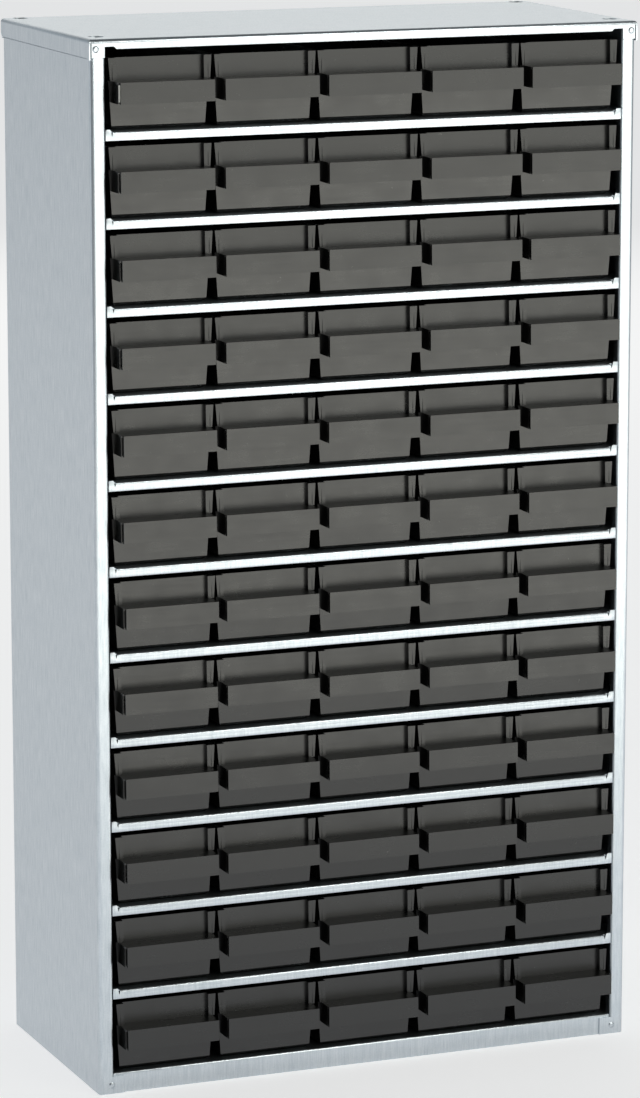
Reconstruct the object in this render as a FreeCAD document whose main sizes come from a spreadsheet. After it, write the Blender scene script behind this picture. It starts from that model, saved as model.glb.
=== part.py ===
import FreeCAD, Part
import math
import os
import Sketcher

# Parts bin cabinet: a folded sheet steel casing with eleven shelves and sixty small plastic drawers.
# Lengths are in millimetres. The front faces -Y and +Z is up.
# The origin lies on the standing surface, under the middle of the whole cabinet with its drawer grips.

# Driving sizes

sizes = [
    # outside of the casing
    ("case_width", 304.0),
    ("case_depth", 141.0),
    ("case_height", 551.0),
    ("sheet", 0.8),
    ("bend_radius", 2.0),
    # front frame that is folded from the sides
    ("frame_width", 8.7),
    ("return_depth", 5.0),
    ("return_bend", 1.2),
    ("foot_width", 6.1),
    ("foot_height", 9.3),
    # cap
    ("cap_skirt", 10.4),
    ("cap_edge_radius", 2.0),
    ("cap_strip", 5.1),
    ("cap_tab_height", 9.4),
    ("cap_tab_width", 7.0),
    ("cap_tab_gap", 0.6),
    ("cap_notch_length", 5.0),
    ("cap_notch_rise", 1.3),
    ("cap_corner_depth", 2.2),
    ("cap_corner_height", 3.0),
    ("top_hole", 8.0),
    ("top_hole_side", 9.0),
    ("top_hole_front", 15.3),
    ("top_hole_rear", 6.0),
    # floor of the bottom row
    ("base_floor", 11.0),
    ("base_return", 10.0),
    # shelves
    ("row_count", 12),
    ("top_room", 1.8),
    ("fold_radius", 1.2),
    ("frame_clearance", 0.1),
    ("return_clearance", 0.5),
    ("lip_height", 4.6),
    ("lip_end_width", 2.4),
    ("lip_end_rise", 1.0),
    ("lip_end_slope", 1.6),
    ("side_flange", 8.0),
    ("rear_flange", 5.0),
    # drawers
    ("column_count", 5),
    ("column_margin", 1.3),
    ("drawer_gap", 1.4),
    ("drawer_taper", 2.65),
    ("rim_gap", 3.35),
    ("drawer_wall", 1.3),
    ("drawer_corner", 2.5),
    ("drawer_lift", 0.3),
    ("drawer_setback", 7.3),
    ("drawer_rear_clearance", 0.5),
    ("ear_depth", 3.8),
    ("ear_width", 3.3),
    ("ear_height", 11.6),
    # grip with its label slot
    ("grip_reach", 17.0),
    ("grip_inset", 2.0),
    ("grip_height", 10.9),
    ("ledge", 1.4),
    ("cheek", 1.2),
    ("plate", 1.0),
    ("label_slot", 1.0),
    ("label_margin", 1.0),
    ("label_backing", 1.2),
    # lugs that stop a drawer at the lip above it
    ("lug_catch", 2.35),
    ("lug_length", 7.0),
    ("lug_rear", 20.0),
    # one overrun for every cut that runs out of a face
    ("overrun", 5.0),
]

document = FreeCAD.newDocument("PartsBinCabinet")
sheet = document.addObject("Spreadsheet::Sheet", "Sizes")
for line, (name, number) in enumerate(sizes, start=1):
    sheet.set("A%d" % line, name)
    sheet.set("B%d" % line, str(number))
    sheet.setAlias("B%d" % line, name)
document.recompute()


def value(name):
    return float(sheet.get(name))


# Places that several pieces share, as expressions on the sheet

HALF_WIDTH = "Sizes.case_width / 2"
HALF_DEPTH = "Sizes.case_depth / 2"
HALF_OPENING = "(Sizes.case_width / 2 - Sizes.frame_width)"
WRAP_SIDE = "(Sizes.case_width / 2 - Sizes.sheet)"
WRAP_DEPTH = "(Sizes.case_depth / 2 - Sizes.sheet)"
INNER_SIDE = "(Sizes.case_width / 2 - 2 * Sizes.sheet)"
INNER_DEPTH = "(Sizes.case_depth / 2 - 2 * Sizes.sheet)"
BEHIND_RETURN = "(-" + WRAP_DEPTH + " + Sizes.return_depth + Sizes.return_clearance)"
BETWEEN_RETURNS = "(" + HALF_OPENING + " - Sizes.frame_clearance)"
CENTRE_SHIFT = "(Sizes.grip_reach - Sizes.drawer_setback) / 2"
ROW_PITCH = "((Sizes.case_height - Sizes.base_floor - Sizes.top_room) / Sizes.row_count)"
COLUMN_PITCH = "(2 * (" + HALF_OPENING + " - Sizes.column_margin) / Sizes.column_count)"
DRAWER_HEIGHT = "(" + ROW_PITCH + " - Sizes.drawer_lift - Sizes.lip_height - Sizes.rim_gap)"
DRAWER_WIDTH = "(" + COLUMN_PITCH + " - Sizes.drawer_gap)"
GRIP_TOP = "(" + DRAWER_HEIGHT + " - Sizes.ear_height)"
HALF_GRIP = "(" + DRAWER_WIDTH + " / 2 - Sizes.grip_inset)"
DRAWER_FRONT = "(-" + HALF_DEPTH + " + Sizes.drawer_setback + " + CENTRE_SHIFT + ")"

# Numbers that aren't sizes of the cabinet

start_size = 1.0       # sketch lines start this long, until their constraints place them
near = 0.001           # two places this close are the same


# Helpers for bodies and sketches

def new_body(label):
    body = document.addObject("PartDesign::Body", label)
    body.Label = label
    return body


def origin_plane(body, role):
    for feature in body.Origin.OriginFeatures:
        if feature.Role == role:
            return feature
    raise ValueError("no plane " + role)


def new_sketch(body, name, role, offset=None):
    sketch = body.newObject("Sketcher::SketchObject", name)
    sketch.AttachmentSupport = [(origin_plane(body, role), "")]
    sketch.MapMode = "FlatFace"
    if offset:
        sketch.setExpression("AttachmentOffset.Base.z", offset)
    return sketch


def bind(sketch, kind, where, expression):
    index = sketch.addConstraint(Sketcher.Constraint(kind, *where, start_size))
    sketch.setExpression("Constraints[%d]" % index, expression)


def add_outline(sketch, corners):
    # each corner is a pair of expressions, and the lines join the corners in turn
    first = sketch.GeometryCount
    count = len(corners)
    rough = []
    for turn in range(count):
        angle = 2 * math.pi * turn / count
        rough.append(FreeCAD.Vector(math.cos(angle), math.sin(angle), 0) * start_size)
    for turn in range(count):
        sketch.addGeometry(Part.LineSegment(rough[turn], rough[(turn + 1) % count]), False)
    for turn in range(count):
        following = first + (turn + 1) % count
        sketch.addConstraint(Sketcher.Constraint("Coincident", first + turn, 2, following, 1))
    for turn, (across, up) in enumerate(corners):
        bind(sketch, "DistanceX", (first + turn, 1), across)
        bind(sketch, "DistanceY", (first + turn, 1), up)


def add_rectangle(sketch, left, right, low, high):
    add_outline(sketch, [(left, low), (right, low), (right, high), (left, high)])


def add_mirrored_rectangles(sketch, inner, outer, low, high):
    add_rectangle(sketch, inner, outer, low, high)
    add_rectangle(sketch, "-(" + outer + ")", "-(" + inner + ")", low, high)


def add_circle(sketch, across, up, radius):
    index = sketch.addGeometry(Part.Circle(FreeCAD.Vector(), FreeCAD.Vector(0, 0, 1), start_size), False)
    bind(sketch, "DistanceX", (index, 3), across)
    bind(sketch, "DistanceY", (index, 3), up)
    bind(sketch, "Radius", (index,), radius)


def extrude(body, kind, name, sketch, length, reverse=False, symmetric=False):
    feature = body.newObject("PartDesign::" + kind, name)
    feature.Profile = sketch
    feature.Reversed = reverse
    if symmetric:
        feature.SideType = "Symmetric"
    feature.setExpression("Length", length)
    document.recompute()
    return feature


def round_edges(body, name, radius, chosen):
    # rounds the straight edges of the newest feature whose two ends pass the test
    base = body.Tip
    names = []
    for number, edge in enumerate(base.Shape.Edges, start=1):
        ends = [vertex.Point for vertex in edge.Vertexes]
        if len(ends) == 2 and chosen(ends[0], ends[1]):
            names.append("Edge%d" % number)
    feature = body.newObject("PartDesign::Fillet", name)
    feature.Base = (base, names)
    feature.setExpression("Radius", radius)
    document.recompute()
    return feature


def same(first, second):
    return abs(first - second) < near


def upright(start, end):
    return same(start.x, end.x) and same(start.y, end.y)


def move_piece(piece, across, along, up):
    piece.setExpression("Placement.Base.x", across)
    piece.setExpression("Placement.Base.y", along)
    piece.setExpression("Placement.Base.z", up)


# Casing wrap: one sheet folded into the back, the two sides and the front frame

def make_casing_wrap():
    body = new_body("casing_wrap")
    side, front, back = WRAP_SIDE, "-" + WRAP_DEPTH, WRAP_DEPTH
    hook = "(" + HALF_OPENING + " + Sizes.sheet)"
    hook_end = "(-" + WRAP_DEPTH + " + Sizes.return_depth)"
    front_inside = "(-" + INNER_DEPTH + ")"
    right_half = [
        (side, back),
        (side, front),
        (HALF_OPENING, front),
        (HALF_OPENING, hook_end),
        (hook, hook_end),
        (hook, front_inside),
        (INNER_SIDE, front_inside),
        (INNER_SIDE, INNER_DEPTH),
    ]
    left_half = [("-(" + across + ")", along) for across, along in reversed(right_half)]
    fold = new_sketch(body, "wrap_fold", "XY_Plane")
    add_outline(fold, right_half + left_half)
    extrude(body, "Pad", "wrap_walls", fold, "Sizes.case_height - Sizes.sheet")

    half_outer = value("case_width") / 2 - value("sheet")
    half_inner = half_outer - value("sheet")
    hook_outer = value("case_width") / 2 - value("frame_width")
    depth_outer = value("case_depth") / 2 - value("sheet")
    depth_inner = depth_outer - value("sheet")

    def at(start, end, across, along):
        return upright(start, end) and same(abs(start.x), across) and same(abs(start.y), along)

    round_edges(body, "outer_bends", "Sizes.bend_radius",
                lambda start, end: at(start, end, half_outer, depth_outer))
    round_edges(body, "inner_bends", "Sizes.bend_radius - Sizes.sheet",
                lambda start, end: at(start, end, half_inner, depth_inner))
    round_edges(body, "return_outer_bends", "Sizes.return_bend",
                lambda start, end: at(start, end, hook_outer, depth_outer) and start.y < 0)

    trim = new_sketch(body, "foot_trim", "XY_Plane")
    add_mirrored_rectangles(trim, HALF_OPENING + " - Sizes.sheet", HALF_OPENING + " + Sizes.return_bend",
                            front + " - Sizes.sheet", hook_end + " + Sizes.sheet")
    extrude(body, "Pocket", "foot_relief", trim, "Sizes.foot_height", reverse=True)
    feet = new_sketch(body, "foot_outline", "XY_Plane")
    foot_inner = HALF_OPENING + " - Sizes.foot_width"
    add_mirrored_rectangles(feet, foot_inner, HALF_OPENING + " + Sizes.return_bend", front, front_inside)
    extrude(body, "Pad", "foot_tabs", feet, "Sizes.foot_height")
    move_piece(body, "0", CENTRE_SHIFT, "0")
    return body


# Cap: an inverted tray with a narrow front strip, two front tabs and four holes

def make_top_cap():
    body = new_body("top_cap")
    outline = new_sketch(body, "cap_outline", "XY_Plane")
    add_rectangle(outline, "-" + HALF_WIDTH, HALF_WIDTH, "-" + HALF_DEPTH, HALF_DEPTH)
    extrude(body, "Pad", "cap_block", outline, "Sizes.cap_skirt", reverse=True)
    round_edges(body, "cap_bends", "Sizes.cap_edge_radius",
                lambda start, end: same(start.z, 0) and same(end.z, 0))

    hollow = new_sketch(body, "cap_hollow", "XY_Plane", "-Sizes.sheet")
    add_rectangle(hollow, "-" + WRAP_SIDE, WRAP_SIDE, "-" + WRAP_DEPTH, WRAP_DEPTH)
    extrude(body, "Pocket", "cap_inside", hollow, "Sizes.cap_skirt + Sizes.overrun")

    tab_outer = "(" + WRAP_SIDE + " - Sizes.cap_tab_gap)"
    tab_inner = "(" + WRAP_SIDE + " - Sizes.cap_tab_gap - Sizes.cap_tab_width)"
    notch_end = "(" + tab_inner + " - Sizes.cap_notch_length)"
    below = "-(Sizes.cap_skirt + Sizes.overrun)"
    notch_top = "-(Sizes.cap_strip - Sizes.cap_notch_rise)"
    right_half = [
        (WRAP_SIDE, below),
        (WRAP_SIDE, "-Sizes.cap_edge_radius"),
        (tab_outer, "-Sizes.cap_edge_radius"),
        (tab_outer, "-Sizes.cap_tab_height"),
        (tab_inner, "-Sizes.cap_tab_height"),
        (tab_inner, notch_top),
        (notch_end, notch_top),
        (notch_end + " - Sizes.cap_notch_rise", "-Sizes.cap_strip"),
    ]
    left_half = [("-(" + across + ")", up) for across, up in reversed(right_half)]
    opening = new_sketch(body, "cap_front_opening", "XZ_Plane", WRAP_DEPTH)
    add_outline(opening, right_half + left_half)
    extrude(body, "Pocket", "cap_front", opening, "Sizes.sheet + Sizes.overrun", reverse=True)

    # the rear lower corners of the side skirts are cut off at a slant
    corner_front = HALF_DEPTH + " - Sizes.cap_corner_depth"
    behind = HALF_DEPTH + " + Sizes.overrun"
    corner_top = "-Sizes.cap_skirt + Sizes.cap_corner_height"
    for name, side, reverse in (("right", WRAP_SIDE, True), ("left", "-" + WRAP_SIDE, False)):
        corner = new_sketch(body, "cap_corner_outline_" + name, "YZ_Plane", side)
        add_outline(corner, [
            (corner_front, "-Sizes.cap_skirt"),
            (HALF_DEPTH, corner_top),
            (behind, corner_top),
            (behind, below),
            (corner_front, below),
        ])
        extrude(body, "Pocket", "cap_corner_" + name, corner, "Sizes.sheet + Sizes.overrun",
                reverse=reverse)

    holes = new_sketch(body, "hole_places", "XY_Plane")
    hole_across = "(" + HALF_WIDTH + " - Sizes.top_hole_side)"
    hole_front = "-" + HALF_DEPTH + " + Sizes.top_hole_front"
    hole_rear = HALF_DEPTH + " - Sizes.top_hole_rear"
    for across in (hole_across, "-" + hole_across):
        for along in (hole_front, hole_rear):
            add_circle(holes, across, along, "Sizes.top_hole / 2")
    extrude(body, "Pocket", "top_holes", holes, "Sizes.sheet + Sizes.overrun")
    move_piece(body, "0", CENTRE_SHIFT, "Sizes.case_height")
    return body


# Base pan: the floor of the bottom row, folded down to the ground and in again

def add_tray_outline(sketch, front, inset):
    # full width behind the frame's returns, narrower between them
    narrow = "(" + BETWEEN_RETURNS + " - " + inset + ")"
    wide = "(" + INNER_SIDE + " - " + inset + ")"
    low = "-(" + front + " - " + inset + ")"
    step = "(" + BEHIND_RETURN + " + " + inset + ")"
    high = "(" + INNER_DEPTH + " - " + inset + ")"
    add_outline(sketch, [
        ("-" + narrow, low),
        (narrow, low),
        (narrow, step),
        (wide, step),
        (wide, high),
        ("-" + wide, high),
        ("-" + wide, step),
        ("-" + narrow, step),
    ])


def make_base_pan():
    body = new_body("base_pan")
    outline = new_sketch(body, "base_outline", "XY_Plane")
    add_tray_outline(outline, INNER_DEPTH, "0")
    extrude(body, "Pad", "base_block", outline, "Sizes.base_floor")
    front = -(value("case_depth") / 2 - 2 * value("sheet"))
    top = value("base_floor")
    round_edges(body, "base_front_bend", "Sizes.fold_radius",
                lambda start, end: same(start.z, top) and same(end.z, top)
                and same(start.y, front) and same(end.y, front))

    mouth = new_sketch(body, "base_mouth", "XY_Plane")
    add_rectangle(mouth, "-(" + INNER_SIDE + " - Sizes.sheet)", INNER_SIDE + " - Sizes.sheet",
                  "-(" + INNER_DEPTH + " - Sizes.base_return)", INNER_DEPTH + " - Sizes.base_return")
    extrude(body, "Pocket", "base_underside", mouth, "Sizes.base_floor - Sizes.sheet", reverse=True)
    inside = new_sketch(body, "base_inside", "XY_Plane", "Sizes.sheet")
    add_tray_outline(inside, INNER_DEPTH, "Sizes.sheet")
    extrude(body, "Pocket", "base_hollow", inside, "Sizes.base_floor - 2 * Sizes.sheet", reverse=True)
    move_piece(body, "0", CENTRE_SHIFT, "0")
    return body


# Shelf: a flat floor with a front lip whose ends stand up as small tabs, and flanges on three sides

def make_shelf():
    body = new_body("shelf_pattern")
    floor = new_sketch(body, "shelf_outline", "XY_Plane")
    add_tray_outline(floor, WRAP_DEPTH, "0")
    extrude(body, "Pad", "shelf_floor", floor, "Sizes.sheet", reverse=True)

    lip = new_sketch(body, "lip_outline", "XZ_Plane", INNER_DEPTH)
    add_rectangle(lip, "-" + BETWEEN_RETURNS, BETWEEN_RETURNS, "-Sizes.lip_height", "0")
    extrude(body, "Pad", "shelf_lip", lip, "Sizes.sheet")
    front = -(value("case_depth") / 2 - value("sheet"))
    round_edges(body, "front_bend", "Sizes.fold_radius",
                lambda start, end: same(start.z, 0) and same(end.z, 0)
                and same(start.y, front) and same(end.y, front))

    end_inner = "(" + BETWEEN_RETURNS + " - Sizes.lip_end_width)"
    slope_end = "(" + end_inner + " - Sizes.lip_end_slope)"
    right_tab = [
        (slope_end, "-Sizes.fold_radius"),
        (BETWEEN_RETURNS, "-Sizes.fold_radius"),
        (BETWEEN_RETURNS, "Sizes.lip_end_rise"),
        (end_inner, "Sizes.lip_end_rise"),
    ]
    tabs = new_sketch(body, "lip_end_outline", "XZ_Plane", INNER_DEPTH)
    add_outline(tabs, right_tab)
    add_outline(tabs, [("-(" + across + ")", up) for across, up in reversed(right_tab)])
    extrude(body, "Pad", "lip_end_tabs", tabs, "Sizes.sheet")

    sides = new_sketch(body, "side_flange_outline", "XY_Plane")
    add_mirrored_rectangles(sides, INNER_SIDE + " - Sizes.sheet", INNER_SIDE, BEHIND_RETURN, INNER_DEPTH)
    extrude(body, "Pad", "side_flanges", sides, "Sizes.side_flange", reverse=True)
    rear = new_sketch(body, "rear_flange_outline", "XY_Plane")
    add_rectangle(rear, "-" + INNER_SIDE, INNER_SIDE, INNER_DEPTH + " - Sizes.sheet", INNER_DEPTH)
    extrude(body, "Pad", "rear_fold", rear, "Sizes.rear_flange", reverse=True)
    return body


# Drawer: a tapered tub with proud front corners, a box grip with a label slot, and stop lugs.
# Its own origin is under the middle of its front wall.

def tub_half(height, inset):
    # half width of the tapered tub at a height above its bottom, as an expression
    below_rim = "(" + DRAWER_HEIGHT + " - (" + height + "))"
    narrowing = "(" + below_rim + " * Sizes.drawer_taper / " + DRAWER_HEIGHT + ")"
    return "(" + DRAWER_WIDTH + " / 2 - " + inset + " - " + narrowing + ")"


def make_drawer():
    body = new_body("drawer_pattern")
    tub_length = ("(Sizes.case_depth - 2 * Sizes.sheet - Sizes.drawer_rear_clearance"
                  " - Sizes.drawer_setback)")
    top = DRAWER_HEIGHT
    lug_top = "(" + DRAWER_HEIGHT + " + Sizes.rim_gap + Sizes.lug_catch)"
    section = new_sketch(body, "tub_section", "XZ_Plane")
    add_outline(section, [
        ("-" + tub_half("0", "0"), "0"),
        (tub_half("0", "0"), "0"),
        (tub_half(lug_top, "0"), lug_top),
        ("-" + tub_half(lug_top, "0"), lug_top),
    ])
    extrude(body, "Pad", "tub", section, tub_length, reverse=True)
    round_edges(body, "tub_corners", "Sizes.drawer_corner",
                lambda start, end: same(start.z, 0) and same(end.z, 0) and same(start.x, end.x))

    hollow = new_sketch(body, "hollow_section", "XZ_Plane", "-Sizes.drawer_wall")
    over = lug_top + " + Sizes.overrun"
    add_outline(hollow, [
        ("-" + tub_half("Sizes.drawer_wall", "Sizes.drawer_wall"), "Sizes.drawer_wall"),
        (tub_half("Sizes.drawer_wall", "Sizes.drawer_wall"), "Sizes.drawer_wall"),
        (tub_half(over, "Sizes.drawer_wall"), over),
        ("-" + tub_half(over, "Sizes.drawer_wall"), over),
    ])
    extrude(body, "Pocket", "tub_hollow", hollow, tub_length + " - 2 * Sizes.drawer_wall")

    # the rim is cut down to its height, and the side walls keep a ramped lug each
    lug_end = "(" + tub_length + " - Sizes.lug_rear)"
    lug_front = "(" + lug_end + " - Sizes.lug_length)"
    rim = new_sketch(body, "rim_side_view", "YZ_Plane")
    add_outline(rim, [
        ("-Sizes.overrun", top),
        (lug_front, top),
        (lug_front, lug_top),
        (lug_end, top),
        (tub_length + " + Sizes.overrun", top),
        (tub_length + " + Sizes.overrun", over),
        ("-Sizes.overrun", over),
    ])
    extrude(body, "Pocket", "rim_and_lugs", rim, DRAWER_WIDTH + " + Sizes.overrun", symmetric=True)

    ear_inner = "(" + tub_half(GRIP_TOP, "0") + " - Sizes.ear_width)"
    ears = new_sketch(body, "ear_outline", "XZ_Plane")
    right_ear = [
        (ear_inner, GRIP_TOP),
        (tub_half(GRIP_TOP, "0"), GRIP_TOP),
        (tub_half(top, "0"), top),
        (ear_inner, top),
    ]
    add_outline(ears, right_ear)
    add_outline(ears, [("-" + across, up) for across, up in reversed(right_ear)])
    extrude(body, "Pad", "ears", ears, "Sizes.ear_depth")

    grip_low = "(" + GRIP_TOP + " - Sizes.grip_height)"
    grip_side = new_sketch(body, "grip_side_view", "YZ_Plane")
    add_rectangle(grip_side, "-Sizes.grip_reach", "0", grip_low, GRIP_TOP)
    extrude(body, "Pad", "grip", grip_side, "2 * " + HALF_GRIP, symmetric=True)
    behind_label = "-(Sizes.grip_reach - Sizes.plate - Sizes.label_slot - Sizes.label_backing)"
    finger = new_sketch(body, "finger_gap_outline", "XY_Plane", grip_low + " - Sizes.overrun")
    add_rectangle(finger, "-(" + HALF_GRIP + " - Sizes.cheek)", HALF_GRIP + " - Sizes.cheek",
                  behind_label, "0")
    extrude(body, "Pocket", "finger_gap", finger,
            "Sizes.grip_height - Sizes.ledge + Sizes.overrun", reverse=True)
    label = new_sketch(body, "label_slot_outline", "YZ_Plane", "-" + HALF_GRIP + " - Sizes.overrun")
    add_rectangle(label, "-(Sizes.grip_reach - Sizes.plate)",
                  "-(Sizes.grip_reach - Sizes.plate - Sizes.label_slot)",
                  grip_low + " + Sizes.label_margin", GRIP_TOP + " - Sizes.label_margin")
    extrude(body, "Pocket", "label_slot_cut", label,
            "2 * " + HALF_GRIP + " - Sizes.cheek + Sizes.overrun", reverse=True)
    return body


# Copies: the shelves are one group of solids, and the drawers of the bottom row are another

def place_copy(pattern, label, across, along, up):
    copy = document.addObject("Part::Feature", label)
    copy.Label = label
    copy.Shape = pattern.Tip.Shape.copy()
    move_piece(copy, across, along, up)
    return copy


def join_group(label, members):
    group = document.addObject("Part::Compound", label)
    group.Label = label
    group.Links = members
    return group


def make_shelves(pattern, rows):
    shelves = []
    for level in range(1, rows):
        height = "Sizes.base_floor + %d * %s" % (level, ROW_PITCH)
        shelves.append(place_copy(pattern, "shelf_%02d" % level, "0", CENTRE_SHIFT, height))
    return join_group("shelves", shelves)


def make_drawers(pattern, rows, columns):
    drawers = []
    for row in range(1, rows + 1):
        height = "Sizes.base_floor + %d * %s + Sizes.drawer_lift" % (rows - row, ROW_PITCH)
        for column in range(1, columns + 1):
            across = "%d * %s / 2" % (2 * column - columns - 1, COLUMN_PITCH)
            label = "drawer_r%02d_c%d" % (row, column)
            drawers.append(place_copy(pattern, label, across, DRAWER_FRONT, height))
    bottom_row = drawers[-columns:]
    return drawers[:-columns] + [join_group("drawers_r%02d" % rows, bottom_row)]


row_total = int(value("row_count"))
column_total = int(value("column_count"))
shelf_pattern = make_shelf()
drawer_pattern = make_drawer()
pieces = [make_casing_wrap(), make_top_cap(), make_base_pan(), make_shelves(shelf_pattern, row_total)]
pieces = pieces + make_drawers(drawer_pattern, row_total, column_total)
document.recompute()

# Every object is sound before anything is written

for item in document.Objects:
    if "Invalid" in item.State or "Error" in item.State:
        raise RuntimeError(item.Name + " failed: " + str(item.State))
for piece in pieces:
    if piece.Shape.isNull() or not piece.Shape.isValid():
        raise RuntimeError(piece.Label + " has no valid shape")

os.makedirs("parts", exist_ok=True)
for piece in pieces:
    piece.Shape.exportStep("parts/" + piece.Label + ".step")
print("wrote", len(pieces), "nodes with", sum(len(piece.Shape.Solids) for piece in pieces), "solids")
print("one drawer holds", round(drawer_pattern.Tip.Shape.Volume), "cubic millimetres of plastic")
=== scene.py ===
import math
import random

import bmesh
import bpy
from mathutils import Matrix, Vector


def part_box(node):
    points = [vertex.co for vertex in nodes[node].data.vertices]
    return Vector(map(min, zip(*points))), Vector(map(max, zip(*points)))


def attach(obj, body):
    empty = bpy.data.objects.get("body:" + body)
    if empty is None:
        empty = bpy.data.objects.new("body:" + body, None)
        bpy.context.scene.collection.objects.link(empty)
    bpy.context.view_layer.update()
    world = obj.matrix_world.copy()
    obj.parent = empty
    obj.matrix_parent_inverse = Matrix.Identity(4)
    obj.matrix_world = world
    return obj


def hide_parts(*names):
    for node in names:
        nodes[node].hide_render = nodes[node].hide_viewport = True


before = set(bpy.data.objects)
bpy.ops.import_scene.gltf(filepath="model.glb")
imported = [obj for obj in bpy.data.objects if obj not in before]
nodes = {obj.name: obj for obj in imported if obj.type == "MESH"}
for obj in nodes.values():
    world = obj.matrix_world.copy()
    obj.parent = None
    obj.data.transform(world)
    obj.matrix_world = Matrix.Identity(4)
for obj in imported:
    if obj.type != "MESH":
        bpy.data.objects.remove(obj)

mm = 0.001
scene = bpy.context.scene
scene.view_settings.view_transform = "Standard"
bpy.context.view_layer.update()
capLow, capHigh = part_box("top_cap")
print("frame loaded:", len(nodes), "nodes")


# Small helpers

def paint(hexColour):
    # an sRGB hex colour as the linear one that Blender works in
    channels = [int(hexColour[at:at + 2], 16) / 255 for at in (1, 3, 5)]
    linear = [c / 12.92 if c <= 0.04045 else ((c + 0.055) / 1.055) ** 2.4 for c in channels]
    return (*linear, 1.0)


def addNode(tree, kind, settings=None, inputs=None):
    # inputs holds a plain value or another node's output for each socket
    node = tree.nodes.new(kind)
    for name, setting in (settings or {}).items():
        setattr(node, name, setting)
    for socket, source in (inputs or {}).items():
        if isinstance(source, bpy.types.NodeSocket):
            tree.links.new(source, node.inputs[socket])
        else:
            node.inputs[socket].default_value = source
    return node


def newPiece(name, mesh):
    piece = bpy.data.objects.new(name, mesh)
    scene.collection.objects.link(piece)
    return piece


def meshFrom(bm, name):
    mesh = bpy.data.meshes.new(name)
    bm.to_mesh(mesh)
    bm.free()
    return mesh


def applyModifiers(piece):
    evaluated = piece.evaluated_get(bpy.context.evaluated_depsgraph_get())
    finished = bpy.data.meshes.new_from_object(evaluated)
    piece.modifiers.clear()
    piece.data = finished


def wholeNode(node, name):
    # the CAD node's loose triangles, merged into one skin with whole flat faces
    bm = bmesh.new()
    bm.from_mesh(nodes[node].data)
    sameSpot, flatAngle = 0.002 * mm, math.radians(0.6)
    bmesh.ops.remove_doubles(bm, verts=bm.verts, dist=sameSpot)
    bmesh.ops.dissolve_limit(bm, angle_limit=flatAngle, verts=bm.verts, edges=bm.edges)
    return newPiece(name, meshFrom(bm, name))


def addBlock(bm, low, high):
    # a box between two opposite corners
    middle = (Vector(low) + Vector(high)) / 2
    size = Vector(high) - Vector(low)
    place = Matrix.Translation(middle) @ Matrix.Diagonal((*size, 1))
    bmesh.ops.create_cube(bm, size=1, matrix=place)


def addPrism(bm, near, far):
    # closes the space between two outlines with as many corners as each other
    near = [bm.verts.new(corner) for corner in near]
    far = [bm.verts.new(corner) for corner in far]
    bm.faces.new(near)
    bm.faces.new(far[::-1])
    for at in range(len(near)):
        bm.faces.new((near[at - 1], near[at], far[at], far[at - 1]))


def cutAway(piece, bm):
    # takes the closed shapes in bm out of the piece
    cutter = newPiece("cutter", meshFrom(bm, "cutter"))
    boolean = piece.modifiers.new("cut", "BOOLEAN")
    boolean.operation = "DIFFERENCE"
    boolean.solver = "EXACT"
    boolean.object = cutter
    applyModifiers(piece)
    bpy.data.objects.remove(cutter)


def softenEdges(piece, width):
    edgeAngle = math.radians(38)
    broadFace = 2 * mm
    bevel = piece.modifiers.new("soft edges", "BEVEL")
    bevel.width = width
    bevel.segments = 2
    bevel.limit_method = "ANGLE"
    bevel.angle_limit = edgeAngle
    applyModifiers(piece)
    piece.data.shade_smooth()
    piece.data.set_sharp_from_angle(angle=edgeAngle)
    for polygon in piece.data.polygons:
        # a broad flat face keeps its own direction, so that it mirrors evenly
        corners = [piece.data.vertices[i].co for i in polygon.vertices]
        longest = max((a - b).length for a, b in zip(corners, corners[1:] + corners[:1]))
        polygon.use_smooth = polygon.area / longest < broadFace


def finishPiece(piece, material, body, slot, *replaced):
    piece.data.materials.clear()
    piece.data.materials.append(material)
    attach(piece, body)
    if replaced:
        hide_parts(*replaced)


# Camera, found by fitting the casing's corners and edges in the photograph

camera = {
    "azimuth": -21.96,       # degrees from straight ahead, towards the left
    "elevation": 11.20,      # degrees above level
    "distance": 2.5395,      # metres from the middle of the casing
    "across": 1.01,          # millimetres that it stands off the line to the middle
    "up": -8.08,
    "lens": 103.44,          # millimetres, for a frame 24 mm high
    "frameHeight": 24,
}


def placeCamera():
    azimuth = math.radians(camera["azimuth"])
    elevation = math.radians(camera["elevation"])
    back = Vector((math.sin(azimuth) * math.cos(elevation),
                   -math.cos(azimuth) * math.cos(elevation), math.sin(elevation)))
    right = Vector((0, 0, 1)).cross(back).normalized()
    up = back.cross(right)
    middle = Vector(((capLow.x + capHigh.x) / 2, (capLow.y + capHigh.y) / 2, capHigh.z / 2))
    data = bpy.data.cameras.new("camera")
    data.sensor_fit = "VERTICAL"
    data.sensor_height = camera["frameHeight"]
    data.lens = camera["lens"]
    eye = bpy.data.objects.new("camera", data)
    turn = Matrix((right, up, back)).transposed().to_4x4()
    spot = (middle + right * camera["across"] * mm + up * camera["up"] * mm
            + back * camera["distance"])
    eye.matrix_world = Matrix.Translation(spot) @ turn
    scene.collection.objects.link(eye)
    scene.camera = eye


placeCamera()


# Studio: a pale floor that is brightest in front on the right, a pale wall behind the cabinet, and
# a dimmer room in front of it and above

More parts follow.
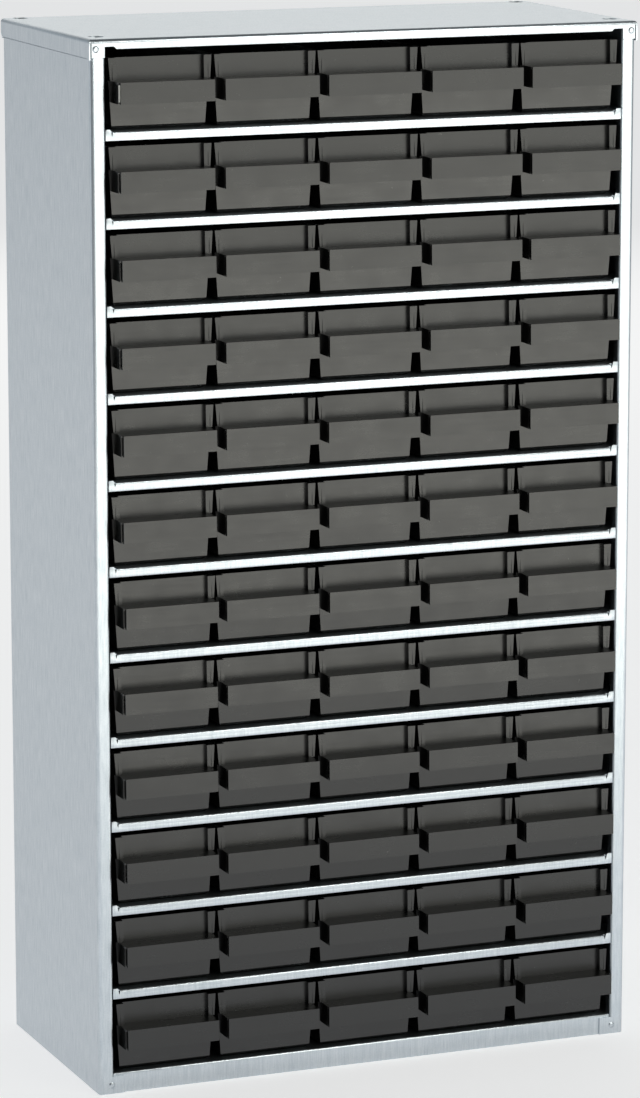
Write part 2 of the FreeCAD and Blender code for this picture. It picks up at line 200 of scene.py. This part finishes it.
studio = {
    "floorSize": 40.0,             # metres
    "floorColour": "#d8d9da",
    "floorSeen": 0.66,             # light the floor shows of its own to the camera
    "floorMirrored": 0.60,         # and to glossy surfaces
    "wallColour": "#e4ecf1",
    "wallSeen": 0.95,
    "frontLevel": 0.26,            # the room in front of the cabinet
    "backLevel": 0.58,             # the room behind it
    "frontEnds": -0.35,            # up to this share of +Y in a direction the front level holds,
    "backStarts": 0.45,            # and from this one the back level
    "ceilingLevel": 0.25,          # what is left of that level straight above
    "ceilingStarts": 0.25,         # share of +Z in a direction where the room starts to darken,
    "ceilingFull": 0.85,           # and where it is darkest
}

# Each row: azimuth in degrees, height and distance of the middle, width and depth in metres,
# radiance, colour, what it faces, and whether matt surfaces get its light. The upright fronts
# mirror the floor light. The edge light is there only for the thin lines along rounded edges.
softLights = {
    "floorLight": (17.0, 0.001, 3.5, 3.0, 5.2, 1.60, "#fffdf0", "ceiling", True),
    "nearLight": (0.0, 0.001, 0.5, 1.6, 0.84, 0.17, "#f4faff", "ceiling", True),
    "edgeLight": (22.0, 1.55, 1.6, 1.6, 0.35, 10.0, "#fffff8", "cabinet", False),
    "rightLight": (30.0, 0.75, 1.9, 1.6, 1.4, 0.9, "#fffff4", "cabinet", True),
    "leftLight": (-105.0, 1.1, 2.8, 1.8, 2.0, 0.4, "#ffffff", "cabinet", True),
    "backLight": (158.0, 1.35, 3.0, 2.6, 1.5, 0.75, "#fffbf4", "cabinet", True),
}


def makeFloor():
    bm = bmesh.new()
    half = studio["floorSize"] / 2
    corners = ((-half, -half, 0), (half, -half, 0), (half, half, 0), (-half, half, 0))
    bm.faces.new([bm.verts.new(corner) for corner in corners])
    floor = newPiece("floor", meshFrom(bm, "floor"))
    material = bpy.data.materials.new("pale paper")
    material.use_nodes = True
    tree = material.node_tree
    tree.nodes.clear()
    diffuse = addNode(tree, "ShaderNodeBsdfDiffuse", inputs={"Color": paint(studio["floorColour"])})
    path = addNode(tree, "ShaderNodeLightPath")
    mirrored = addNode(tree, "ShaderNodeMath", {"operation": "MAXIMUM"},
                       {0: path.outputs["Is Glossy Ray"], 1: path.outputs["Is Transmission Ray"]})
    mirrored = addNode(tree, "ShaderNodeMath", {"operation": "MULTIPLY"},
                       {0: mirrored.outputs[0], 1: studio["floorMirrored"]})
    strength = addNode(tree, "ShaderNodeMath", {"operation": "MULTIPLY_ADD"},
                       {0: path.outputs["Is Camera Ray"], 1: studio["floorSeen"],
                        2: mirrored.outputs[0]})
    glow = addNode(tree, "ShaderNodeEmission", inputs={"Strength": strength.outputs[0]})
    both = addNode(tree, "ShaderNodeAddShader", inputs={0: diffuse.outputs[0], 1: glow.outputs[0]})
    addNode(tree, "ShaderNodeOutputMaterial", inputs={"Surface": both.outputs[0]})
    floor.data.materials.append(material)


def makeRoom():
    world = bpy.data.worlds.new("studio room")
    world.use_nodes = True
    scene.world = world
    tree = world.node_tree
    tree.nodes.clear()
    looking = addNode(tree, "ShaderNodeTexCoord").outputs["Generated"]
    direction = addNode(tree, "ShaderNodeSeparateXYZ", inputs={0: looking})
    room = addNode(tree, "ShaderNodeMapRange", {"interpolation_type": "SMOOTHSTEP"},
                   {"Value": direction.outputs["Y"], "From Min": studio["frontEnds"],
                    "From Max": studio["backStarts"], "To Min": studio["frontLevel"],
                    "To Max": studio["backLevel"]})
    ceiling = addNode(tree, "ShaderNodeMapRange", {"interpolation_type": "SMOOTHSTEP"},
                      {"Value": direction.outputs["Z"], "From Min": studio["ceilingStarts"],
                       "From Max": studio["ceilingFull"], "To Min": 1.0,
                       "To Max": studio["ceilingLevel"]})
    level = addNode(tree, "ShaderNodeMath", {"operation": "MULTIPLY"},
                    {0: room.outputs[0], 1: ceiling.outputs[0]})
    path = addNode(tree, "ShaderNodeLightPath")
    level = addNode(tree, "ShaderNodeMix", {"data_type": "FLOAT"},
                    {"Factor": path.outputs["Is Camera Ray"], "A": level.outputs[0],
                     "B": studio["wallSeen"]})
    light = addNode(tree, "ShaderNodeBackground",
                    inputs={"Color": paint(studio["wallColour"]), "Strength": level.outputs[0]})
    addNode(tree, "ShaderNodeOutputWorld", inputs={"Surface": light.outputs[0]})


def hangLights():
    for name, row in softLights.items():
        azimuth, height, distance, width, depth, radiance, colour, facing, lightsMatt = row
        angle = math.radians(azimuth)
        data = bpy.data.lights.new(name, "AREA")
        data.shape = "RECTANGLE"
        data.size = width
        data.size_y = depth
        data.energy = radiance * math.pi * width * depth
        data.color = paint(colour)[:3]
        light = bpy.data.objects.new(name, data)
        light.visible_camera = False
        light.visible_diffuse = lightsMatt
        place = Vector((math.sin(angle) * distance, -math.cos(angle) * distance, height))
        if facing == "cabinet":
            turn = (place - Vector((0, 0, capHigh.z / 2))).to_track_quat("Z", "Y").to_matrix()
        else:
            turn = Matrix.Rotation(angle, 3, "Z") @ Matrix.Rotation(math.pi, 3, "X")
        light.matrix_world = Matrix.Translation(place) @ turn.to_4x4()
        scene.collection.objects.link(light)


makeFloor()
makeRoom()
hangLights()
print("studio ready")


# Materials

def newMaterial(name):
    material = bpy.data.materials.new(name)
    material.use_nodes = True
    return material, material.node_tree, material.node_tree.nodes["Principled BSDF"]


def makeZincSteel():
    # hot-dip galvanised, skin-passed steel sheet: a cool grey satin mirror with faint cloudy
    # spangle a few millimetres wide and fine up-and-down rolling lines
    look = {
        "pale": "#d5dbe0",
        "deep": "#bdc6cd",
        "spangle": 6 * mm,
        "line": 0.9 * mm,
        "lineLength": 12 * mm,
        "grain": 0.8 * mm,        # finer on the real sheet, drawn as coarse as the picture can show
        "lineShare": 0.8,         # lines against spangle, then grain against both
        "grainShare": 0.3,
        "shadeRange": (0.32, 0.68),   # what of the mixed pattern goes from deep to pale,
        "roughRange": (0.35, 0.65),   # and from rough to smooth
        "smoothest": 0.31,
        "roughest": 0.39,
        "bumpStrength": 0.12,
        "bumpHeight": 0.02 * mm,
    }
    material, tree, shader = newMaterial("galvanised steel")
    place = addNode(tree, "ShaderNodeTexCoord").outputs["Object"]
    spangle = addNode(tree, "ShaderNodeTexNoise", inputs={
        "Vector": place, "Scale": 1 / look["spangle"], "Detail": 3.0, "Roughness": 0.6})
    stretched = addNode(tree, "ShaderNodeMapping", {"vector_type": "POINT"}, {
        "Vector": place, "Scale": (1 / look["line"], 1 / look["line"], 1 / look["lineLength"])})
    lines = addNode(tree, "ShaderNodeTexNoise", inputs={
        "Vector": stretched.outputs[0], "Scale": 1.0, "Detail": 2.0})
    grain = addNode(tree, "ShaderNodeTexNoise", inputs={
        "Vector": place, "Scale": 1 / look["grain"], "Detail": 2.0})
    mixed = addNode(tree, "ShaderNodeMix", {"data_type": "FLOAT"}, {
        "Factor": look["lineShare"], "A": spangle.outputs["Fac"], "B": lines.outputs["Fac"]})
    mixed = addNode(tree, "ShaderNodeMix", {"data_type": "FLOAT"}, {
        "Factor": look["grainShare"], "A": mixed.outputs[0], "B": grain.outputs["Fac"]})
    shade = addNode(tree, "ShaderNodeMapRange", inputs={
        "Value": mixed.outputs[0], "From Min": look["shadeRange"][0],
        "From Max": look["shadeRange"][1]})
    colour = addNode(tree, "ShaderNodeMix", {"data_type": "RGBA"}, {
        "Factor": shade.outputs[0], "A": paint(look["deep"]), "B": paint(look["pale"])})
    tree.links.new(colour.outputs["Result"], shader.inputs["Base Color"])
    rough = addNode(tree, "ShaderNodeMapRange", inputs={
        "Value": mixed.outputs[0], "From Min": look["roughRange"][0],
        "From Max": look["roughRange"][1],
        "To Min": look["roughest"], "To Max": look["smoothest"]})
    tree.links.new(rough.outputs[0], shader.inputs["Roughness"])
    bump = addNode(tree, "ShaderNodeBump", inputs={
        "Strength": look["bumpStrength"], "Distance": look["bumpHeight"],
        "Height": grain.outputs["Fac"]})
    tree.links.new(bump.outputs[0], shader.inputs["Normal"])
    shader.inputs["Metallic"].default_value = 1.0
    return material


def makeConductivePlastic():
    # carbon-filled polypropylene, injection moulded: near black with a broad grey satin sheen,
    # soft cloudy flow marks and a few pale scuffs from use
    look = {
        "black": "#0c0c0b",
        "worn": "#131312",
        "scuff": "#7b7b76",
        "cloud": 14 * mm,
        "flow": 1.6 * mm,
        "flowLength": 22 * mm,
        "flowShare": 0.35,        # flow marks against cloud
        "markRange": (0.35, 0.65),    # what of the marks goes from black to worn, rough to smooth
        "scuffSize": 2.2 * mm,
        "scuffRange": (0.72, 0.80),   # only the peaks of its noise show
        "scuffShare": 0.6,        # how far a scuff covers the black
        "texture": 0.7 * mm,      # the mould's fine grain, drawn as coarse as the picture can show
        "smoothest": 0.26,
        "roughest": 0.34,
        "refraction": 1.65,
        "bumpStrength": 0.1,
        "bumpHeight": 0.02 * mm,
    }
    material, tree, shader = newMaterial("carbon-filled polypropylene")
    place = addNode(tree, "ShaderNodeTexCoord").outputs["Object"]
    cloud = addNode(tree, "ShaderNodeTexNoise", inputs={
        "Vector": place, "Scale": 1 / look["cloud"], "Detail": 3.0})
    stretched = addNode(tree, "ShaderNodeMapping", {"vector_type": "POINT"}, {
        "Vector": place,
        "Scale": (1 / look["flowLength"], 1 / look["flow"], 1 / look["flow"])})
    flow = addNode(tree, "ShaderNodeTexNoise", inputs={
        "Vector": stretched.outputs[0], "Scale": 1.0, "Detail": 2.0})
    mixed = addNode(tree, "ShaderNodeMix", {"data_type": "FLOAT"}, {
        "Factor": look["flowShare"], "A": cloud.outputs["Fac"], "B": flow.outputs["Fac"]})
    shade = addNode(tree, "ShaderNodeMapRange", inputs={
        "Value": mixed.outputs[0], "From Min": look["markRange"][0],
        "From Max": look["markRange"][1]})
    body = addNode(tree, "ShaderNodeMix", {"data_type": "RGBA"}, {
        "Factor": shade.outputs[0], "A": paint(look["black"]), "B": paint(look["worn"])})
    scuffs = addNode(tree, "ShaderNodeTexNoise", inputs={
        "Vector": place, "Scale": 1 / look["scuffSize"], "Detail": 4.0, "Distortion": 1.2})
    few = addNode(tree, "ShaderNodeMapRange", inputs={
        "Value": scuffs.outputs["Fac"], "From Min": look["scuffRange"][0],
        "From Max": look["scuffRange"][1], "To Max": look["scuffShare"]})
    colour = addNode(tree, "ShaderNodeMix", {"data_type": "RGBA"}, {
        "Factor": few.outputs[0], "A": body.outputs["Result"], "B": paint(look["scuff"])})
    tree.links.new(colour.outputs["Result"], shader.inputs["Base Color"])
    rough = addNode(tree, "ShaderNodeMapRange", inputs={
        "Value": mixed.outputs[0], "From Min": look["markRange"][0],
        "From Max": look["markRange"][1],
        "To Min": look["roughest"], "To Max": look["smoothest"]})
    tree.links.new(rough.outputs[0], shader.inputs["Roughness"])
    texture = addNode(tree, "ShaderNodeTexNoise", inputs={
        "Vector": place, "Scale": 1 / look["texture"], "Detail": 2.0})
    bump = addNode(tree, "ShaderNodeBump", inputs={
        "Strength": look["bumpStrength"], "Distance": look["bumpHeight"],
        "Height": texture.outputs["Fac"]})
    tree.links.new(bump.outputs[0], shader.inputs["Normal"])
    shader.inputs["IOR"].default_value = look["refraction"]
    return material


def makePaper():
    # uncoated label paper: matt white with a faint fibre mottle
    look = {"shade": "#e9e8e2", "white": "#f6f5f1", "fibre": 1.5 * mm, "rough": 0.8}
    material, tree, shader = newMaterial("label paper")
    place = addNode(tree, "ShaderNodeTexCoord").outputs["Object"]
    fibre = addNode(tree, "ShaderNodeTexNoise", inputs={
        "Vector": place, "Scale": 1 / look["fibre"], "Detail": 4.0})
    colour = addNode(tree, "ShaderNodeMix", {"data_type": "RGBA"}, {
        "Factor": fibre.outputs["Fac"], "A": paint(look["shade"]), "B": paint(look["white"])})
    tree.links.new(colour.outputs["Result"], shader.inputs["Base Color"])
    shader.inputs["Roughness"].default_value = look["rough"]
    return material


zincSteel = makeZincSteel()
conductivePlastic = makeConductivePlastic()
labelPaper = makePaper()
print("materials ready")


# Casing: the CAD's folded sheets with softened edges, creases, relief cuts and a line along the
# cap's skirts

casing = {
    "sheet": 0.8,             # millimetres
    "edge": 0.18,             # how far a cut sheet edge is rounded over
    "creaseHeight": 0.25,
    "creaseDepth": 0.16,
    "creaseBelowTop": 2.7,    # on each shelf's front lip and on the cap's front strip
    "capCreaseEnd": 17.0,     # where the cap's crease stops short of the casing's side
    "lipHalf": 143.2,         # half the width of a shelf's front lip
    "lipCreaseEnd": 6.0,      # where the lip's crease stops short of its end
    "drawerAbove": 0.3,       # from a shelf to the drawer on it
    "notchWidth": 1.7,        # relief cuts at the top of each lip, near its ends
    "notchHeight": 2.6,
    "notchFromEnd": 2.6,
    "skirtLineBelowTop": 10.0,    # shadow line along the lower edge of the cap's side skirts
    "skirtLineHeight": 0.4,
    "skirtLineDepth": 0.35,
    "skirtLineStart": 3.0,    # from the cap's front
}


def makeShelves():
    shelves = wholeNode("shelves", "dressedShelves")
    creases = bmesh.new()
    notches = bmesh.new()
    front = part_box("shelves")[0].y
    half = casing["lipHalf"] * mm
    reach = half - casing["lipCreaseEnd"] * mm
    for row in range(1, 12):
        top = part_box("drawer_r%02d_c1" % row)[0].z - casing["drawerAbove"] * mm
        crease = top - casing["creaseBelowTop"] * mm
        addBlock(creases, (-reach, front - mm, crease),
                 (reach, front + casing["creaseDepth"] * mm, crease + casing["creaseHeight"] * mm))
        for side in (-1, 1):
            outer = side * (half - casing["notchFromEnd"] * mm)
            inner = outer - side * casing["notchWidth"] * mm
            notch = ((min(outer, inner), top + mm), (max(outer, inner), top + mm),
                     ((outer + inner) / 2, top - casing["notchHeight"] * mm))
            addPrism(notches, [(x, front - mm, z) for x, z in notch],
                     [(x, front + 2 * casing["sheet"] * mm, z) for x, z in notch])
    bmesh.ops.recalc_face_normals(notches, faces=notches.faces)
    cutAway(shelves, creases)
    cutAway(shelves, notches)
    softenEdges(shelves, casing["edge"] * mm)
    finishPiece(shelves, zincSteel, "casing", "casing_steel", "shelves")


def makeCap():
    cap = wholeNode("top_cap", "dressedCap")
    cuts = bmesh.new()
    crease = capHigh.z - casing["creaseBelowTop"] * mm
    reach = capHigh.x - casing["capCreaseEnd"] * mm
    addBlock(cuts, (-reach, capLow.y - mm, crease),
             (reach, capLow.y + casing["creaseDepth"] * mm, crease + casing["creaseHeight"] * mm))
    line = capHigh.z - casing["skirtLineBelowTop"] * mm
    for side in (-1, 1):
        outer = side * (capHigh.x + mm)
        inner = side * (capHigh.x - casing["skirtLineDepth"] * mm)
        addBlock(cuts, (min(outer, inner), capLow.y + casing["skirtLineStart"] * mm, line),
                 (max(outer, inner), capHigh.y + mm, line + casing["skirtLineHeight"] * mm))
    cutAway(cap, cuts)
    softenEdges(cap, casing["edge"] * mm)
    finishPiece(cap, zincSteel, "casing", "casing_steel", "top_cap")


def makeWrapAndPan():
    for node, name in (("casing_wrap", "dressedWrap"), ("base_pan", "dressedPan")):
        sheet = wholeNode(node, name)
        softenEdges(sheet, casing["edge"] * mm)
        finishPiece(sheet, zincSteel, "casing", "casing_steel", node)


makeWrapAndPan()
makeShelves()
makeCap()
print("casing ready")


# Rivets: low-headed blind rivets with a hollow middle, which hold the cap's tabs and the two feet

rivet = {
    "headDiameter": 3.5,      # millimetres
    "headHeight": 0.55,
    "flatShare": 0.62,        # radius of the head's flat top against the whole head's
    "hollowDiameter": 1.7,
    "hollowShare": 0.4,       # depth of the hollow against the head's height
    "corners": 32,
    "sharpAngle": 50,         # degrees
    "mergeWithin": 0.005,
    "topAcross": 148.4,
    "topHeight": 546.0,
    "footAcross": 144.3,
    "footHeight": 4.6,
}


def rivetTree():
    # a head for each of the points that come in, facing -Y
    tree = bpy.data.node_groups.new("rivet heads", "GeometryNodeTree")
    tree.interface.new_socket("Geometry", in_out="INPUT", socket_type="NodeSocketGeometry")
    for name in ("Head radius", "Head height", "Hollow radius"):
        tree.interface.new_socket(name, in_out="INPUT", socket_type="NodeSocketFloat")
    tree.interface.new_socket("Geometry", in_out="OUTPUT", socket_type="NodeSocketGeometry")
    inputs = addNode(tree, "NodeGroupInput").outputs
    corners = rivet["corners"]
    rim = addNode(tree, "ShaderNodeMath", {"operation": "MULTIPLY"},
                  {0: inputs["Head radius"], 1: rivet["flatShare"]})
    skirt = addNode(tree, "GeometryNodeMeshCone", {"fill_type": "NONE"}, {
        "Vertices": corners, "Side Segments": 3, "Radius Top": rim.outputs[0],
        "Radius Bottom": inputs["Head radius"], "Depth": inputs["Head height"]})
    hollow = addNode(tree, "ShaderNodeMath", {"operation": "MULTIPLY"},
                     {0: inputs["Head height"], 1: rivet["hollowShare"]})
    lift = addNode(tree, "ShaderNodeCombineXYZ", inputs={"Z": inputs["Head height"]})
    lower = addNode(tree, "ShaderNodeCombineXYZ", inputs={"Z": hollow.outputs[0]})
    crown = addNode(tree, "GeometryNodeMeshCone", {"fill_type": "NONE"}, {
        "Vertices": corners, "Side Segments": 2, "Radius Top": inputs["Hollow radius"],
        "Radius Bottom": rim.outputs[0], "Depth": 0.0})
    crownUp = addNode(tree, "GeometryNodeTransform", inputs={
        "Geometry": crown.outputs["Mesh"], "Translation": lift.outputs[0]})
    pit = addNode(tree, "GeometryNodeMeshCone", {"fill_type": "NGON"}, {
        "Vertices": corners, "Side Segments": 1, "Radius Top": inputs["Hollow radius"],
        "Radius Bottom": inputs["Hollow radius"], "Depth": hollow.outputs[0]})
    pitUp = addNode(tree, "GeometryNodeTransform", inputs={
        "Geometry": pit.outputs["Mesh"], "Translation": lower.outputs[0]})
    joined = addNode(tree, "GeometryNodeJoinGeometry")
    for part in (skirt.outputs["Mesh"], crownUp.outputs[0], pitUp.outputs[0]):
        tree.links.new(part, joined.inputs[0])
    merged = addNode(tree, "GeometryNodeMergeByDistance", inputs={
        "Geometry": joined.outputs[0], "Distance": rivet["mergeWithin"] * mm})
    tilt = addNode(tree, "GeometryNodeTransform", inputs={
        "Geometry": merged.outputs[0], "Rotation": (math.radians(90), 0, 0)})
    spread = addNode(tree, "GeometryNodeInstanceOnPoints", inputs={
        "Points": inputs["Geometry"], "Instance": tilt.outputs[0]})
    real = addNode(tree, "GeometryNodeRealizeInstances", inputs={0: spread.outputs[0]})
    coated = addNode(tree, "GeometryNodeSetMaterial", inputs={
        "Geometry": real.outputs[0], "Material": zincSteel})
    addNode(tree, "NodeGroupOutput", inputs={"Geometry": coated.outputs[0]})
    return tree


def makeRivets():
    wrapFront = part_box("casing_wrap")[0].y
    bm = bmesh.new()
    for side in (-1, 1):
        bm.verts.new((side * rivet["topAcross"] * mm, capLow.y, rivet["topHeight"] * mm))
        bm.verts.new((side * rivet["footAcross"] * mm, wrapFront, rivet["footHeight"] * mm))
    rivets = newPiece("rivets", meshFrom(bm, "rivets"))
    modifier = rivets.modifiers.new("rivet heads", "NODES")
    modifier.node_group = rivetTree()
    sizes = {
        "Head radius": rivet["headDiameter"] * mm / 2,
        "Head height": rivet["headHeight"] * mm,
        "Hollow radius": rivet["hollowDiameter"] * mm / 2,
    }
    for socket in modifier.node_group.interface.items_tree:
        if socket.name in sizes:
            modifier[socket.identifier] = sizes[socket.name]
    applyModifiers(rivets)
    rivets.data.shade_smooth()
    rivets.data.set_sharp_from_angle(angle=math.radians(rivet["sharpAngle"]))
    finishPiece(rivets, zincSteel, "casing", "casing_steel")


makeRivets()
print("rivets ready")


# Drawers: two patterns dressed from the CAD's drawer, one of them for the first column alone, then
# set in all sixty places

drawer = {
    "edge": 0.34,             # moulded edge radius, millimetres
    "plateInset": 0.2,        # how far the plate's left end stops short of the grip's
    "plateInsetFirst": 0.85,  # the same in the first column, whose slots are open wider
    "plateDepth": 2.0,        # plate and label slot together
    "grooveIn": 1.5,          # thin line down the front of each ear, from its outer edge
    "grooveWidth": 0.35,
    "grooveDepth": 0.4,
    "grooveAbove": 0.3,       # where it starts above the grip
    "earHalf": 27.2,
    "earFront": -64.55,
    "gripHalf": 25.7,
    "gripFront": -74.85,
    "gripBottom": 14.1,
    "gripTop": 25.0,
    "rimTop": 36.6,
    "toeRise": 2.1,           # slope under the front wall
    "toeDepth": 2.6,
    "wallPlane": -61.55,
    "gripZone": -70.0,        # what lies nearer than this belongs to the grip,
    "wallZone": -57.0,        # and nearer than this to the front wall
    "plateLean": 0.026,       # the moulding's draft: plate and upper wall lean back,
    "wallLean": 0.044,        # the lower panel leans in towards its foot
    "panelLean": 0.026,
    "sideways": 0.18,         # how far a drawer sits off its place, millimetres
    "inwards": 0.5,
    "yaw": 0.10,              # degrees
    "seed": 5,
}

label = {
    "in": 0.1,                # from the grip's left end, millimetres
    "behind": 1.3,            # from the plate's front
    "thickness": 0.3,
    "length": 20.0,
    "bottom": 15.2,
    "top": 23.8,
}

# the front as the picture shows it, in millimetres: the CAD's places along the depth, and where
# they go
frontMoves = ((-75.35, -74.85), (-72.15, -71.65), (-62.15, -64.55), (-58.35, -61.55),
              (-57.05, -60.25), (-45.0, -45.0), (80.0, 80.0))

# drawers that the picture shows pushed to one side: row and column, and millimetres
pushed = {(7, 1): 0.8, (4, 3): 0.26}


def settleFront(piece, base):
    for vertex in piece.data.vertices:
        y = vertex.co.y / mm
        z = (vertex.co.z - base) / mm
        for (near, nearTo), (far, farTo) in zip(frontMoves, frontMoves[1:]):
            if near - 0.01 <= y <= far:
                vertex.co.y = (nearTo + (y - near) * (farTo - nearTo) / (far - near)) * mm
                break
        if y < drawer["gripZone"]:
            vertex.co.y += (z - drawer["gripBottom"]) * drawer["plateLean"] * mm
        elif y < drawer["wallZone"] and z > drawer["gripTop"] - 0.01:
            vertex.co.y += (z - drawer["gripTop"]) * drawer["wallLean"] * mm
        elif y < drawer["wallZone"] and z < drawer["gripBottom"]:
            vertex.co.y += (drawer["gripBottom"] - z) * drawer["panelLean"] * mm


def dressDrawer(inset):
    dressed = wholeNode("drawer_r01_c1", "dressedDrawer")
    low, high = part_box("drawer_r01_c1")
    middle = (low.x + high.x) / 2
    base = low.z
    settleFront(dressed, base)
    cuts = bmesh.new()
    left = middle - drawer["gripHalf"] * mm
    front = drawer["gripFront"] * mm
    addBlock(cuts, (left - mm, front - mm, base + (drawer["gripBottom"] - 1) * mm),
             (left + inset * mm, front + drawer["plateDepth"] * mm,
              base + (drawer["gripTop"] + 1) * mm))
    groove = drawer["grooveWidth"] / 2 * mm
    for side in (-1, 1):
        line = middle + side * (drawer["earHalf"] - drawer["grooveIn"]) * mm
        addBlock(cuts, (line - groove, (drawer["earFront"] - 1) * mm,
                        base + (drawer["gripTop"] + drawer["grooveAbove"]) * mm),
                 (line + groove, (drawer["earFront"] + drawer["grooveDepth"]) * mm,
                  base + (drawer["rimTop"] + 1) * mm))
    wall = (drawer["wallPlane"] + drawer["gripBottom"] * drawer["panelLean"]) * mm
    toeBack = wall + drawer["toeDepth"] * mm
    rise = drawer["toeRise"] * mm
    toe = ((wall - mm, -mm), (toeBack, -mm), (toeBack, 0), (wall, rise), (wall - mm, rise))
    addPrism(cuts, [(low.x - mm, y, base + z) for y, z in toe],
             [(high.x + mm, y, base + z) for y, z in toe])
    bmesh.ops.recalc_face_normals(cuts, faces=cuts.faces)
    cutAway(dressed, cuts)
    softenEdges(dressed, drawer["edge"] * mm)
    return dressed


def setDrawers():
    firstPattern = dressDrawer(drawer["plateInsetFirst"])
    pattern = dressDrawer(drawer["plateInset"])
    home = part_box("drawer_r01_c1")[0]
    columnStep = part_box("drawer_r01_c2")[0].x - home.x
    rowStep = (home.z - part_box("drawer_r11_c1")[0].z) / 10
    chance = random.Random(drawer["seed"])
    bottomRow = bmesh.new()
    for row in range(1, 13):
        for column in range(1, 6):
            drop = -(row - 1) * rowStep
            across = (column - 1) * columnStep
            middle = Vector((-2 * columnStep + across, 0, 0))
            turn = Matrix.Rotation(math.radians(chance.uniform(-1, 1) * drawer["yaw"]), 4, "Z")
            sideways = pushed.get((row, column), chance.uniform(-1, 1) * drawer["sideways"])
            nudge = Vector((sideways * mm, chance.uniform(0, 1) * drawer["inwards"] * mm, 0))
            place = (Matrix.Translation(middle + nudge) @ turn @ Matrix.Translation(-middle)
                     @ Matrix.Translation((across, 0, drop)))
            mesh = (firstPattern if column == 1 else pattern).data.copy()
            mesh.transform(place)
            if row == 12:
                bottomRow.from_mesh(mesh)
                continue
            name = "r%02d_c%d" % (row, column)
            piece = newPiece("dressed_" + name, mesh)
            finishPiece(piece, conductivePlastic, "drawer_" + name, "drawer_plastic",
                        "drawer_" + name)
    piece = newPiece("bottomRowDrawers", meshFrom(bottomRow, "bottomRowDrawers"))
    finishPiece(piece, conductivePlastic, "drawers_r12", "drawer_plastic", "drawers_r12")
    bpy.data.objects.remove(pattern)
    bpy.data.objects.remove(firstPattern)


def addLabel():
    # the one paper label in the picture: blank, in the open end of the top left drawer's slot
    low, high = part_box("drawer_r01_c1")
    left = (low.x + high.x) / 2 - drawer["gripHalf"] * mm
    front = drawer["gripFront"] * mm
    bm = bmesh.new()
    addBlock(bm, (left + label["in"] * mm, front + label["behind"] * mm,
                  low.z + label["bottom"] * mm),
             (left + (label["in"] + label["length"]) * mm,
              front + (label["behind"] + label["thickness"]) * mm, low.z + label["top"] * mm))
    piece = newPiece("labelStrip", meshFrom(bm, "labelStrip"))
    finishPiece(piece, labelPaper, "drawer_r01_c1", None)


setDrawers()
addLabel()
print("drawers ready")
